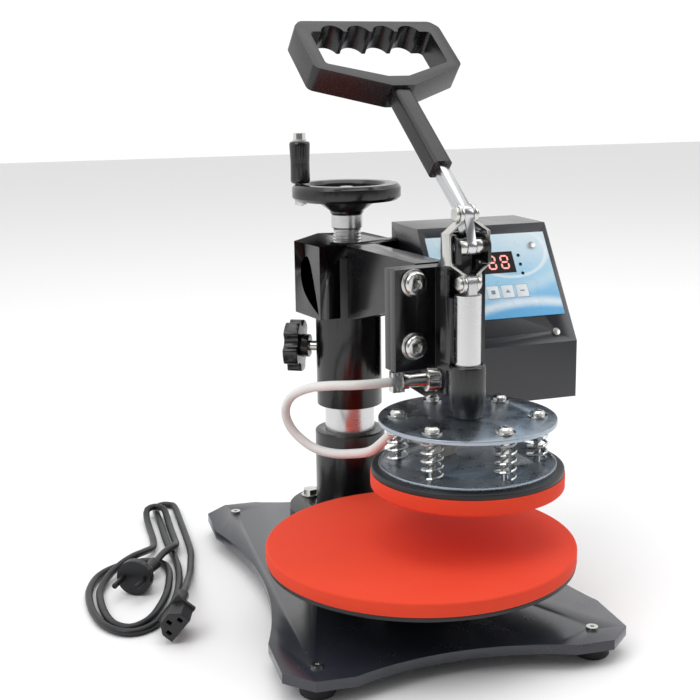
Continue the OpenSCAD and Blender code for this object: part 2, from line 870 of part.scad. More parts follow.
// A rivet head or pin end from x0 outwards, on both sides of the middle
module pin_heads(from, thick, r) {
    for (s = [0, 1])
        mirror([s, 0, 0]) translate([from, 0, 0]) rotate([0, 90, 0])
            rotate_extrude() polygon([[0, 0], [r, 0], [r, thick - 1], [r - 1.4, thick], [0, thick]]);
}

module upper_pin() {
    reach = link_in + link_t + 0.15;
    color("#d6d8dc") at_upper_pin() {
        rotate([0, 90, 0]) rod(pin_r, -reach - 0.5, reach + 0.5);
        pin_heads(reach, rivet_t, 6);
    }
}

// One link plate's centre line from the lower to the upper end: across, then up
function link_line(top) = [
    [link_in, -9], [link_in, 7], [bulge_in, 15], [bulge_in, top - 14], [link_in, top - 6],
    [link_in, top + 9]
];

module link_plates() {
    top = norm([crank_back, upper_pin_z - pin_z]);
    lean = atan2(crank_back, upper_pin_z - pin_z);
    outer = [for (p = link_line(top)) [p[0] + link_t, p[1]]];
    inner = [for (i = [5 : -1 : 0]) link_line(top)[i]];
    color("#cfd2d6") at_plunger() translate([0, 0, pin_z]) rotate([-lean, 0, 0])
        for (s = [0, 1])
            mirror([s, 0, 0]) difference() {
                intersection() {
                    rotate([90, 0, 0]) translate([0, 0, -10])
                        linear_extrude(height = 20) polygon(concat(outer, inner));
                    union() {
                        block([0, -link_w / 2, 0], [30, link_w / 2, top]);
                        rotate([0, 90, 0]) cylinder(r = link_end_r, h = 30);
                        translate([0, 0, top]) rotate([0, 90, 0]) cylinder(r = link_end_r, h = 30);
                    }
                }
                translate([-1, 0, top]) rotate([0, 90, 0]) cylinder(r = pin_r + 0.05, h = 40);
                translate([-1, 0, 0]) rotate([0, 90, 0]) cylinder(r = pin_r, h = 40);
            }
}

module lower_rivets() {
    color("#d6d8dc") at_plunger() translate([0, 0, pin_z]) {
        pin_heads(link_in + link_t, rivet_t, 6);
        for (s = [0, 1])
            mirror([s, 0, 0]) translate([link_in, 0, 0]) rotate([0, 90, 0])
                cylinder(r = pin_r, h = link_t + 0.5);
    }
}

module plunger_rod() {
    color("#c9cacd") at_plunger() {
        rod(rod_r, rod_z0, rod_z1);
        block([-tongue_t / 2, -tongue_w / 2, rod_z1 - 1], [tongue_t / 2, tongue_w / 2, pin_z]);
        translate([-tongue_t / 2, 0, pin_z]) rotate([0, 90, 0])
            cylinder(r = tongue_w / 2, h = tongue_t);
    }
}

module slide_block() {
    color("#8f9299") at_plunger() difference() {
        block(
            [-channel_w / 2 + channel_wall + 0.1, throat - channel_front + channel_wall + 0.1, rod_z1 - 27],
            [channel_w / 2 - channel_wall - 0.1, throat - channel_back - channel_wall - 0.1, rod_z1 - 3]
        );
        rod(rod_r, rod_z0, rod_z1 + 1);
    }
}

module rod_boss() {
    color("#1b1c20") at_plunger() difference() {
        rotate_extrude() polygon([
            [0, top_plate_z1], [12.2, top_plate_z1], [boss_r, top_plate_z1 + 9],
            [boss_r, boss_z1 - 1.5], [boss_r - 1.5, boss_z1], [0, boss_z1]
        ]);
        rod(rod_r, rod_z0, boss_z1 + 1);
        rod(4, top_plate_z1 - 1, rod_z0 + 1);
    }
}

module top_plate() {
    color("#aab4bf") difference() {
        at_plunger() rod(spring_plate_d / 2, top_plate_z0, top_plate_z1);
        at_springs() rod(bolt_shank_r + hole_play + 0.2, top_plate_z0 - 1, top_plate_z1 + 1);
        at_plunger() rod(4, top_plate_z0 - 1, top_plate_z1 + 1);
    }
}

module spring_bolts() {
    head_z = top_plate_z1 + 0.1;
    color("#c3cbd4") at_springs() {
        rod(bolt_shank_r, heater_z0 + 1, head_z + 2);
        ring(washer_r, bolt_shank_r, head_z, head_z + 1.2);
        difference() {
            translate([0, 0, head_z + 1.2]) rotate_extrude() polygon([
                [0, 0], [pan_r, 0], [pan_r, 2.4], [pan_r - 1.8, 4], [0, 4]
            ]);
            for (a = [0, 90])
                rotate([0, 0, a]) translate([-3, -0.6, head_z + 3.6]) cube([6, 1.2, 4]);
        }
    }
}

// A helical spring as one swept wire, with its two ends flat
module coil_spring(z0, z1) {
    turns = 4.5;
    steps = 54;
    r = spring_d / 2 - spring_wire / 2;
    low = z0 + spring_wire / 2;
    high = z1 - spring_wire / 2;
    points = [
        for (i = [0 : steps])
            let (a = 360 * turns * i / steps)
                [r * cos(a), r * sin(a), low + (high - low) * i / steps]
    ];
    tube(points, spring_wire, 6);
}

module springs() {
    color("#c8ccd1") at_springs() coil_spring(lower_plate_z1 + 0.15, top_plate_z0 - 0.15);
}

module lower_plate() {
    color("#aab4bf") difference() {
        at_plunger() rotate_extrude($fn = 120) polygon([
            [0, lower_plate_z0], [spring_plate_d / 2, lower_plate_z0],
            [spring_plate_d / 2, lower_plate_z1], [spring_plate_d / 2 - 2.2, lower_plate_z1],
            [spring_plate_d / 2 - 3.2, lower_plate_z1 - 1], [0, lower_plate_z1 - 1]
        ]);
        at_springs() rod(bolt_shank_r, lower_plate_z0 - 1, lower_plate_z1 + 1);
    }
}

module heater_body() {
    color("#202327") difference() {
        at_plunger() rotate_extrude($fn = 120) polygon([
            [0, heater_z0], [upper_pad_d / 2 - 0.6, heater_z0],
            [upper_pad_d / 2 - 0.6, lower_plate_z0 - 1], [upper_pad_d / 2 - 1.6, lower_plate_z0],
            [0, lower_plate_z0]
        ]);
        at_springs() rod(bolt_shank_r, heater_z0 + 1, lower_plate_z0 + 1);
    }
}

module upper_pad() {
    color("#e8492f") at_plunger() rotate_extrude($fn = 120) polygon([
        [0, pad_z0], [upper_pad_d / 2 - 1.5, pad_z0], [upper_pad_d / 2, pad_z0 + 1.5],
        [upper_pad_d / 2, heater_z0], [0, heater_z0]
    ]);
}

// Its children are drawn from the heater's terminal: x away from the plunger's axis
module at_terminal() {
    at_plunger() rotate([0, 0, terminal_turn]) translate([0, 0, lower_plate_z1 - 1]) children();
}

module terminal_block() {
    color("#e6e3da") at_terminal() {
        block([20, -9, 0], [38, 9, 10]);
        for (s = [-1, 1])
            translate([29, s * 4.5, 10]) cylinder(r = 2.6, h = 1.6);
        translate([38, 0, 5]) rotate([0, 90, 0]) cylinder(r = 2.6, h = 30);
        translate([62, 0, terminal_z - lower_plate_z1 + 1]) rotate([0, 90, 0])
            cylinder(r = lead_d / 2 + 0.6, h = 11);
    }
}

// Side outline of the control box, brought in by a wall: backwards, then up
module box_side(inset) {
    bend = inset / tan(45 + slope_angle / 2);
    back_y = inset > 0 ? 1 : 0;
    polygon([
        [back_y, box_low_z + inset], [-box_knee_d + inset, box_low_z + inset],
        [-box_knee_d + inset, box_knee_z - bend],
        [-box_top_d + inset * tan(slope_angle / 2), box_top_z - inset],
        [back_y, box_top_z - inset]
    ]);
}

module box_shell() {
    color("#4a505c") difference() {
        at_box() rotate([90, 0, 90]) linear_extrude(height = box_w) box_side(0);
        at_box() translate([box_wall, 0, 0]) rotate([90, 0, 90])
            linear_extrude(height = box_w - 2 * box_wall) box_side(box_wall);
        at_box() block([-1, -box_wall, box_low_z - 1], [box_w + 1, 1, box_top_z - box_wall]);
        at_box() block(
            [box_wall, -box_knee_d + box_wall, box_low_z - 1],
            [box_w - box_wall, 1, box_low_z + box_wall]
        );
        at_slope() {
            translate([box_w / 2 - window_w / 2 + 2, window_from + 2, -6])
                cube([window_w - 4, window_to - window_from - 4, 12]);
            translate([button_mid - 2 * button_pitch, button_from, -6])
                cube([4 * button_pitch, button_len, 12]);
        }
        at_slope() for (p = slope_screws)
            translate([p[0], p[1], -6]) cylinder(r = slope_screw_r, h = 8);
        at_box() translate([-1, plug_y, plug_z]) rotate([0, 90, 0]) cylinder(r = 8, h = 6);
    }
}

module box_back() {
    color("#3d424d") at_box() difference() {
        union() {
            block([0, -box_wall, box_low_z + box_wall], [box_w, 0, box_top_z - box_wall - 0.2]);
            block(
                [box_wall + 0.2, -box_knee_d + box_wall + 0.2, box_low_z],
                [box_w - box_wall - 0.2, 0, box_low_z + box_wall]
            );
        }
        block([inlet_x - 13.5, -5, rear_z - 10], [inlet_x + 13.5, 5, rear_z + 10]);
        block([switch_x - 7, -5, rear_z - 9.6], [switch_x + 7, 5, rear_z + 9.6]);
        for (x = back_screws)
            translate([x, -5, arm_top - 30]) rotate([-90, 0, 0]) cylinder(r = 2 + hole_play, h = 9);
    }
}

module box_screws() {
    color("#cfd2d6") {
        at_slope() for (p = slope_screws)
            translate([p[0], p[1], p[1] < fascia_to ? fascia_t : 0]) {
                cylinder(r = 3.4, h = 1.8);
                translate([0, 0, -7]) cylinder(r = slope_screw_r, h = 7.5);
            }
        at_box() for (x = back_screws)
            translate([x, -box_wall, arm_top - 30]) rotate([-90, 0, 0]) {
                cylinder(r = 2, h = 7.5);
                translate([0, 0, -2]) cylinder(r = 3.6, h = 2);
            }
    }
}

module control_board() {
    color("#2f6b3c") at_slope() {
        translate([12, 20, -14]) cube([box_w - 24, 66, 1.6]);
        for (x = [32, box_w - 32])
            translate([x, 24, -12.4]) cylinder(r = 2, h = 12.4 - box_wall);
    }
    color("#1c1c1e") at_box() {
        block([14, -60, box_low_z + 6], [46, -20, box_low_z + 30]);
        block([14, -60, box_low_z + box_wall], [46, -20, box_low_z + 6]);
        block([66, -70, box_low_z + box_wall], [104, -34, box_low_z + 18]);
    }
}

module fascia() {
    color("#a9d4ee") at_slope() difference() {
        translate([fascia_margin, fascia_from, 0])
            cube([box_w - 2 * fascia_margin, fascia_to - fascia_from, fascia_t]);
        translate([box_w / 2 - window_w / 2, window_from, -1])
            cube([window_w, window_to - window_from, 4]);
        for (i = [0 : 3])
            translate([button_mid + (i - 1.5) * button_pitch - button_w / 2 - button_play, button_from, -1])
                cube([button_w + 2 * button_play, button_len, 4]);
        for (i = [0 : 2])
            translate([led_x, led_from + i * led_step, -1]) cylinder(r = led_r, h = 4);
        for (p = slope_screws)
            translate([p[0], p[1], -1]) cylinder(r = slope_screw_r, h = 4);
    }
}

module display_window() {
    color("#3c1518") at_slope()
        translate([box_w / 2 - window_w / 2, window_from, 0])
            cube([window_w, window_to - window_from, fascia_t + 0.3]);
}

module indicator_leds() {
    color("#7d1f1f") at_slope() for (i = [0 : 2])
        translate([led_x, led_from + i * led_step, 0]) cylinder(r = led_r, h = fascia_t + 0.4);
}

// One of the four control buttons, counted from the left
module control_button(i) {
    color("#eef1f3") at_slope()
        translate([button_mid + (i - 1.5) * button_pitch - button_w / 2, button_from + button_play, -3])
            cube([button_w, button_len - 2 * button_play, 3 + button_rise]);
}

module power_inlet() {
    color("#1b1c1f") at_box() translate([inlet_x, 0, rear_z]) difference() {
        union() {
            block([-16, 0, -13], [16, 2, 13]);
            block([-13.4, -20, -9.9], [13.4, 0, 9.9]);
        }
        block([-11.4, -16, -7.9], [11.4, 3, 7.9]);
    }
    color("#c9a64b") at_box() translate([inlet_x, 0, rear_z])
        for (p = [[-7, -2], [7, -2], [0, 3]])
            block([p[0] - 1, -18, p[1] - 2], [p[0] + 1, -3, p[1] + 2]);
}

module power_switch() {
    color("#a92020") at_box() translate([switch_x, 0, rear_z]) rotate([90, 0, 90])
        translate([0, 0, -6.5]) intersection() {
            cylinder(r = 11, h = 13);
            translate([-8, -9, 0]) cube([11, 18, 13]);
        }
}

module heater_plug() {
    color("#b9b2a6") at_box() translate([0, plug_y, plug_z]) rotate([0, -90, 0]) {
        rod(7.9, -6, 0);
        translate([0, 0, 0]) cylinder(r = 12.4, h = 3, $fn = 6);
        difference() {
            rod(11, 3, 13);
            for (a = [0 : 30 : 359])
                rotate([0, 0, a]) translate([11.4, 0, 4]) cylinder(r = 1, h = 8);
        }
        rod(6.2, 13, 34);
        rod(7.6, 30, 36);
        block([-9, -4.6, 34], [9, 4.6, 45]);
        for (s = [-1, 1])
            translate([s * 6.8, 0, 39.5]) rotate([90, 0, 0]) cylinder(r = 2, h = 12, center = true);
    }
}

module heater_lead() {
    color("#f2f1ee") at_arm() tube(fine(lead_route, lead_step), lead_d, lead_sides);
}

base_plate();
rubber_feet();
foot_screws();
column_flange();
column_bolts();
column_tube();
column_shaft();
pedestal();
lower_platen();
lower_pad();
mains_cord();
mains_connector();
wall_plug();
thrust_washer();
adjust_screw();
handwheel();
wheel_nut();
crank_grip();
crank_bolt();
arm_sleeve();
arm_block();
arm_web();
arm_flange();
sleeve_bushes();
guide_bolts();
guide_channel();
pivot_pin();
lock_knob();
lock_screw();
clamp_shoe();
lever_bar();
lever_grip();
upper_pin();
link_plates();
lower_rivets();
plunger_rod();
slide_block();
rod_boss();
top_plate();
spring_bolts();
springs();
lower_plate();
heater_body();
upper_pad();
terminal_block();
box_shell();
box_back();
box_screws();
control_board();
fascia();
display_window();
indicator_leds();
control_button(0);  // button_down
control_button(1);  // button_set
control_button(2);  // button_up
control_button(3);  // button_mode
power_inlet();
power_switch();
heater_plug();
heater_lead();
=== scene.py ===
"""A swing-away plate heat press: finishes, leads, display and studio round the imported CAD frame."""
import json
import logging
import math
from dataclasses import dataclass, field
from enum import Enum
from typing import ClassVar

import bmesh
import bpy
from mathutils import Matrix, Vector


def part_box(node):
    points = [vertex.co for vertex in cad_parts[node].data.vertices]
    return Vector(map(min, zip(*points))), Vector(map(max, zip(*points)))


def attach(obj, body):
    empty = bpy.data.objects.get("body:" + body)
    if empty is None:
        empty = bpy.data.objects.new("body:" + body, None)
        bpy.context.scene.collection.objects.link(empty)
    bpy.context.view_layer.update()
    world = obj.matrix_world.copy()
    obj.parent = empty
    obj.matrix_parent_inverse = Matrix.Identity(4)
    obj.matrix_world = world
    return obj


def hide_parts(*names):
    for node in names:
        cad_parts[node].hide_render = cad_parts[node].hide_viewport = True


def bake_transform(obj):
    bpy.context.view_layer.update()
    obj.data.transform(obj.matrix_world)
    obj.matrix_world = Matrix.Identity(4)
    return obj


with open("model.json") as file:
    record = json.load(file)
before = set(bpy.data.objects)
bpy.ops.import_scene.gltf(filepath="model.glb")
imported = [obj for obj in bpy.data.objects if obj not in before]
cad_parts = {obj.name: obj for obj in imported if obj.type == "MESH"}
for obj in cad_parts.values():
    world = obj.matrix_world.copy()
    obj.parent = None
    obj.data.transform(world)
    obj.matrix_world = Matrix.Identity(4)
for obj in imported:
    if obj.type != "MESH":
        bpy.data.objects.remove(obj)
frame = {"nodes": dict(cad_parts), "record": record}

logging.basicConfig(level=logging.INFO, format="%(message)s")
LOG = logging.getLogger("press")
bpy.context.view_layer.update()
MM = 0.001
COLUMN = Vector((-0.0226, 0.13595, 0.0))
ARM_SWING = 11.0


class Edge(Enum):
    """How far a piece's edges are rounded, in millimetres."""

    CRISP = 0.25
    BROKEN = 0.6
    SOFT = 1.2
    MOULDED = 4.2


def linear(code: str) -> tuple[float, float, float, float]:
    """Turns an sRGB hex colour into linear light.

    Args:
        code: A colour such as "#e8492f".

    Returns:
        Red, green, blue and an alpha of 1.
    """
    parts = [int(code[i : i + 2], 16) / 255 for i in (1, 3, 5)]
    light = [c / 12.92 if c <= 0.04045 else ((c + 0.055) / 1.055) ** 2.4 for c in parts]
    return (light[0], light[1], light[2], 1.0)


def add(
    tree: bpy.types.NodeTree,
    kind: str,
    values: dict | None = None,
    links: dict | None = None,
    **settings: object,
) -> bpy.types.Node:
    """Adds one shader node with its settings and links.

    Args:
        tree: The material's node tree.
        kind: The node's Blender type.
        values: Socket values by input name or index.
        links: Output sockets by the input that they feed.
        settings: The node's own properties.

    Returns:
        The new node.
    """
    made = tree.nodes.new(kind)
    for name, value in settings.items():
        setattr(made, name, value)
    for name, value in (values or {}).items():
        made.inputs[name].default_value = value
    for name, source in (links or {}).items():
        tree.links.new(source, made.inputs[name])
    return made


def new_tree(name: str) -> tuple[bpy.types.Material, bpy.types.NodeTree]:
    """Makes an empty material.

    Args:
        name: The material's name.

    Returns:
        The material and its cleared node tree.
    """
    material = bpy.data.materials.new(name)
    material.use_nodes = True
    material.node_tree.nodes.clear()
    return material, material.node_tree


@dataclass(frozen=True)
class Finish:
    """A finish made from two tones, a fine relief and a slower change of gloss.

    The relief stands for the surface's own grain and the slow change for handling and flow.
    """

    name: str
    tone: str
    second: str
    roughness: float
    spread: float
    grain_mm: float
    relief_mm: float
    cloud_mm: float = 40.0
    metallic: float = 0.0
    ior: float = 1.5
    stretch: tuple[float, float, float] = (1.0, 1.0, 1.0)
    made: ClassVar[dict[str, bpy.types.Material]] = {}
    grain_share: ClassVar[float] = 0.35

    def material(self) -> bpy.types.Material:
        """Builds the material once and returns it."""
        if self.name not in self.made:
            self.made[self.name] = self.build()
        return self.made[self.name]

    def build(self) -> bpy.types.Material:
        """Builds the node tree.

        Returns:
            The finished material.
        """
        material, tree = new_tree(self.name)
        place = add(tree, "ShaderNodeTexCoord").outputs["Object"]
        grid = add(tree, "ShaderNodeMapping", {"Scale": self.stretch}, {"Vector": place}).outputs["Vector"]
        fine = add(
            tree, "ShaderNodeTexNoise", {"Scale": 1 / (self.grain_mm * MM), "Detail": 2.0, "Roughness": 0.55},
            {"Vector": grid},
        )
        cloud = add(
            tree, "ShaderNodeTexNoise", {"Scale": 1 / (self.cloud_mm * MM), "Detail": 4.0, "Roughness": 0.6},
            {"Vector": place},
        )
        blend = add(
            tree, "ShaderNodeMath", {1: self.grain_share}, {0: fine.outputs["Fac"]}, operation="MULTIPLY"
        )
        share = add(
            tree, "ShaderNodeMath", {1: 1 - self.grain_share}, {0: cloud.outputs["Fac"], 2: blend.outputs[0]},
            operation="MULTIPLY_ADD",
        )
        tone = add(tree, "ShaderNodeMix", None, {0: share.outputs[0]}, data_type="RGBA")
        tone.inputs[6].default_value = linear(self.tone)
        tone.inputs[7].default_value = linear(self.second)
        gloss = add(
            tree, "ShaderNodeMapRange",
            {
                "From Min": 0.3, "From Max": 0.7,
                "To Min": max(self.roughness - self.spread, 0.02), "To Max": self.roughness + self.spread,
            },
            {"Value": share.outputs[0]},
        )
        bump = add(
            tree, "ShaderNodeBump", {"Strength": 1.0, "Distance": self.relief_mm * MM},
            {"Height": fine.outputs["Fac"]},
        )
        surface = add(
            tree, "ShaderNodeBsdfPrincipled",
            {"Metallic": self.metallic, "IOR": self.ior},
            {"Base Color": tone.outputs[2], "Roughness": gloss.outputs[0], "Normal": bump.outputs[0]},
        )
        add(tree, "ShaderNodeOutputMaterial", None, {"Surface": surface.outputs[0]})
        return material


# Powder-coated steel, baked: nearly black, with a low orange peel that ripples each long highlight.
BLACK_POWDER = Finish("powder_coat_black_baked", "#08080a", "#0e0e11", 0.24, 0.05, 1.8, 0.009, ior=1.6)
# Powder-coated steel, baked: slate, silky, so the plate's top turns pale where it mirrors the room.
SLATE_POWDER = Finish("powder_coat_slate_baked", "#24262e", "#30323c", 0.24, 0.06, 1.4, 0.012, ior=1.6)
# Powder-coated sheet, baked: graphite with a fine grain that keeps the box's faces even.
BOX_PAINT = Finish("powder_coat_graphite_baked", "#1a1b20", "#24262d", 0.24, 0.05, 1.0, 0.009, ior=1.6)
# Powder-coated sheet, baked: the same paint, made darker as painted shade for the box's shaded back, a little
# drier to the eye.
BOX_PAINTED_SHADE = Finish("powder_coat_graphite_painted_shade", "#17181c", "#202227", 0.32, 0.06, 1.0, 0.012)
# Ground and polished steel: rings from the wheel, drawn at 0.5 mm, that smear highlights lengthwise.
SHAFT_STEEL = Finish(
    "steel_shaft_ground", "#c3c3c4", "#dcdcdc", 0.26, 0.05, 3.0, 0.003,
    metallic=1.0, stretch=(0.02, 0.02, 6.0),
)
# Cold-drawn and polished steel: lines along the bar that soften what it mirrors.
BAR_STEEL = Finish(
    "steel_bar_drawn_polished", "#bfc0c2", "#dadbdc", 0.2, 0.06, 2.0, 0.004,
    metallic=1.0, stretch=(4.0, 0.1, 0.1),
)
# Nickel-plated steel: bright, with faint clouding from handling.
NICKEL = Finish(
    "steel_nickel_plated", "#c2c2bf", "#dddcd7", 0.2, 0.08, 1.2, 0.004, cloud_mm=9.0, metallic=1.0,
)
# Zinc-plated, blue-passivated steel: cool grey with a broken, slightly spangled gloss.
ZINC = Finish(
    "steel_zinc_blue_passivated", "#8f9aa6", "#b6c0c9", 0.3, 0.09, 0.9, 0.005,
    cloud_mm=14.0, metallic=1.0,
)
# Turned bronze: warm and satin, with turning rings drawn at 0.4 mm.
BRONZE = Finish(
    "bronze_turned", "#8a6b3e", "#a9874f", 0.32, 0.06, 2.4, 0.005,
    metallic=1.0, stretch=(0.05, 0.05, 6.0),
)
# Silicone sponge rubber, moulded: closed cells, drawn at 0.9 mm, that make the red dry and even.
RED_SILICONE = Finish(
    "silicone_sponge_red_moulded", "#df3a20", "#e94c2e", 0.72, 0.08, 0.9, 0.03, cloud_mm=30.0, ior=1.33,
)
# Natural rubber, moulded: matt, with bloom in soft clouds.
FOOT_RUBBER = Finish(
    "rubber_black_moulded", "#141415", "#1f1f21", 0.7, 0.08, 1.1, 0.03, cloud_mm=12.0, ior=1.52,
)
# Phenolic, compression moulded: black with a wet shine over a very low flow pattern.
PHENOLIC = Finish("phenolic_black_moulded", "#09090b", "#101013", 0.2, 0.05, 2.6, 0.008, ior=1.6)
# Glass-filled nylon, injection moulded: black and glossy, with flow that bends highlights slightly.
GRIP_PLASTIC = Finish("nylon_black_moulded", "#0a0a0c", "#121214", 0.27, 0.05, 3.2, 0.006, ior=1.53)
# Plasticised PVC, extruded or moulded: satin grey-black with fine die marks.
PVC = Finish("pvc_black_extruded", "#0f1013", "#18191e", 0.42, 0.08, 0.9, 0.012, cloud_mm=18.0, ior=1.53)
# Silicone sleeve over glass braid, extruded: chalky white that shows each bend softly.
WHITE_SILICONE = Finish(
    "silicone_white_extruded", "#e2e1de", "#f2f1ee", 0.46, 0.07, 1.3, 0.02, cloud_mm=22.0, ior=1.41,
)
# Steatite, pressed and fired: off-white with a dry, faintly sandy face.
CERAMIC = Finish("steatite_ceramic_fired", "#cfcabd", "#e4dfd3", 0.48, 0.08, 0.8, 0.012, ior=1.6)
# Heat-proof paint, sprayed on cast aluminium: soft black that hides its edges.
HEATER_PAINT = Finish("heat_paint_black_sprayed", "#101215", "#1a1c20", 0.46, 0.08, 0.7, 0.012)
# Silicone rubber key, moulded: clean white with a skin-like sheen.
KEY_WHITE = Finish("silicone_key_white_moulded", "#dfe6ea", "#eef3f5", 0.4, 0.05, 1.0, 0.008, ior=1.41)
# Ink, pad printed: flat grey that sits dull on the glossier key.
KEY_MARK = Finish("pad_print_grey", "#6f8797", "#7f97a6", 0.5, 0.04, 0.8, 0.004)
# Polycarbonate, injection moulded: deep red with a sharp glint along the rocker's ridge.
ROCKER_RED = Finish("polycarbonate_red_moulded", "#8f1216", "#a81a1e", 0.2, 0.05, 1.4, 0.006, ior=1.58)
# Epoxy lens, cast: near-black with a mirror-like face that makes the lit digits stand out.
LENS_DARK = Finish("epoxy_lens_dark_cast", "#1b1113", "#2a1719", 0.14, 0.03, 1.5, 0.003, ior=1.5)
# Glass-fibre board under sprayed solder mask: green with a fine woven mottle.
BOARD = Finish("circuit_board_solder_mask", "#1d5a33", "#2a6e41", 0.38, 0.08, 1.2, 0.01)
# Background paper, rolled: white and even, so that only contact shadows mark it.
FLOOR_PAPER = Finish("paper_white_rolled", "#f8f8f9", "#fbfbfb", 0.8, 0.04, 6.0, 0.01, cloud_mm=400.0)


@dataclass(frozen=True)
class PrintedFilm:
    """Polyester film, back-printed: a sky-blue fade with two pale sweeps under a smooth face."""

    name: str = "polyester_film_back_printed"
    pale: str = "#d9eef8"
    middle: str = "#9fd3f0"
    deep: str = "#62b3e6"
    sweep: str = "#f4fbff"
    mark_mm: float = 15.15

    def material(self) -> bpy.types.Material:
        """Builds the film from the fascia's own width and height.

        Returns:
            The film's material.
        """
        material, tree = new_tree(self.name)
        low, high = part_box("fascia")
        place = add(tree, "ShaderNodeTexCoord").outputs["Object"]
        parts = add(tree, "ShaderNodeSeparateXYZ", None, {"Vector": place})
        fall = add(
            tree, "ShaderNodeMapRange", {"From Min": high.z, "From Max": low.z}, {"Value": parts.outputs["Z"]}
        )
        across = add(
            tree, "ShaderNodeMapRange", {"From Min": low.x, "From Max": high.x}, {"Value": parts.outputs["X"]}
        )
        fade = add(tree, "ShaderNodeValToRGB", None, {"Fac": fall.outputs[0]})
        stops = fade.color_ramp.elements
        stops[0].position, stops[0].color = 0.0, linear(self.pale)
        stops[1].position, stops[1].color = 0.55, linear(self.middle)
        stops.new(0.92).color = linear(self.deep)
        flat = add(
            tree, "ShaderNodeCombineXYZ", None, {"X": across.outputs[0], "Y": fall.outputs[0]}
        )
        colour = fade.outputs["Color"]
        for centre, radius, width, strength in self.sweeps():
            reach = add(
                tree, "ShaderNodeVectorMath", {1: (*centre, 0)}, {0: flat.outputs[0]}, operation="DISTANCE"
            )
            off = add(
                tree, "ShaderNodeMath", {1: radius}, {0: reach.outputs["Value"]}, operation="SUBTRACT"
            )
            gap = add(tree, "ShaderNodeMath", None, {0: off.outputs[0]}, operation="ABSOLUTE")
            mask = add(
                tree, "ShaderNodeMapRange",
                {"From Min": 0.0, "From Max": width, "To Min": strength, "To Max": 0.0},
                {"Value": gap.outputs[0]}, interpolation_type="SMOOTHSTEP",
            )
            mixed = add(
                tree, "ShaderNodeMix", None, {0: mask.outputs[0], 6: colour}, data_type="RGBA"
            )
            mixed.inputs[7].default_value = linear(self.sweep)
            colour = mixed.outputs[2]
        # Dust and finger marks change the gloss in patches.
        marks = add(
            tree, "ShaderNodeTexNoise", {"Scale": 1 / (self.mark_mm * MM), "Detail": 4.0}, {"Vector": place}
        )
        gloss = add(
            tree, "ShaderNodeMapRange", {"To Min": 0.2, "To Max": 0.38}, {"Value": marks.outputs["Fac"]}
        )
        surface = add(
            tree, "ShaderNodeBsdfPrincipled", {"IOR": 1.57, "Coat Weight": 0.2, "Coat Roughness": 0.1},
            {"Base Color": colour, "Roughness": gloss.outputs[0]},
        )
        add(tree, "ShaderNodeOutputMaterial", None, {"Surface": surface.outputs[0]})
        return material

    def sweeps(self) -> list[tuple[tuple[float, float], float, float, float]]:
        """Centre, radius, width and strength of each pale sweep, in shares of the film."""
        return [
            ((0.66, 0.22), 0.3, 0.03, 0.75),
            ((0.72, 1.9), 1.08, 0.09, 0.8),
            ((0.3, -0.6), 1.32, 0.12, 0.35),
            ((0.9, 0.1), 0.1, 0.3, 0.25),
        ]


@dataclass(frozen=True)
class LitSegment:
    """Light-emitting display segment, cast in epoxy: a pale red bar with its own dim light."""

    name: str = "display_segment_lit"
    tone: str = "#ffb4aa"
    second: str = "#ff8f86"
    glow: float = 0.55
    grain_mm: float = 1.11

    def material(self) -> bpy.types.Material:
        """Builds the segment's material."""
        material, tree = new_tree(self.name)
        place = add(tree, "ShaderNodeTexCoord").outputs["Object"]
        grain = add(
            tree, "ShaderNodeTexNoise", {"Scale": 1 / (self.grain_mm * MM), "Detail": 2.0}, {"Vector": place}
        )
        tone = add(tree, "ShaderNodeMix", None, {0: grain.outputs["Fac"]}, data_type="RGBA")
        tone.inputs[6].default_value = linear(self.tone)
        tone.inputs[7].default_value = linear(self.second)
        surface = add(
            tree, "ShaderNodeBsdfPrincipled", {"Roughness": 0.35, "Emission Strength": self.glow},
            {"Base Color": tone.outputs[2], "Emission Color": tone.outputs[2]},
        )
        add(tree, "ShaderNodeOutputMaterial", None, {"Surface": surface.outputs[0]})
        return material


def body_name(node: str) -> str:
    """The body that a CAD node rides on."""
    return next(b for b, members in frame["record"]["behaviour"]["bodies"].items() if node in members)


def new_object(name: str, mesh: bpy.types.Mesh, finish: bpy.types.Material, body: str) -> bpy.types.Object:
    """Adds a mesh object that rides on a body.

    Args:
        name: The object's name.
        mesh: Its mesh, in the row frame.
        finish: Its material.
        body: The CAD body that it moves with.

    Returns:
        The new object.
    """
    piece = bpy.data.objects.new(name, mesh)
    mesh.materials.clear()
    mesh.materials.append(finish)
    bpy.context.scene.collection.objects.link(piece)
    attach(piece, body)
    return piece


def softened(
    node: str, finish: Finish, edge: Edge, segments: int = 3, angle: float = 32.0
) -> bpy.types.Object:
    """Makes a piece with rounded edges that stands for a CAD node.

    Args:
        node: The CAD node.
        finish: What it is finished in.
        edge: How far its edges are rounded.
        segments: Steps across a rounding.
        angle: Edges sharper than this many degrees are rounded.

    Returns:
        The new piece.
    """
    mesh = frame["nodes"][node].data.copy()
    mesh.name = node + "_softened"
    work = bmesh.new()
    work.from_mesh(mesh)
    bmesh.ops.remove_doubles(work, verts=work.verts, dist=2e-6)
    bmesh.ops.dissolve_limit(work, angle_limit=math.radians(0.4), verts=work.verts, edges=work.edges)
    work.to_mesh(mesh)
    work.free()
    mesh.shade_smooth()
    piece = new_object(node + "_piece", mesh, finish.material(), body_name(node))
    bevel = piece.modifiers.new("rounding", "BEVEL")
    bevel.width = edge.value * MM
    bevel.segments = segments
    bevel.limit_method = "ANGLE"
    bevel.angle_limit = math.radians(angle)
    bevel.harden_normals = True
    bevel.use_clamp_overlap = True
    bevel.miter_outer = "MITER_ARC"
    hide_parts(node)
    LOG.info("%s: edges rounded %.2f mm, %s", node, edge.value, finish.name)
    return piece


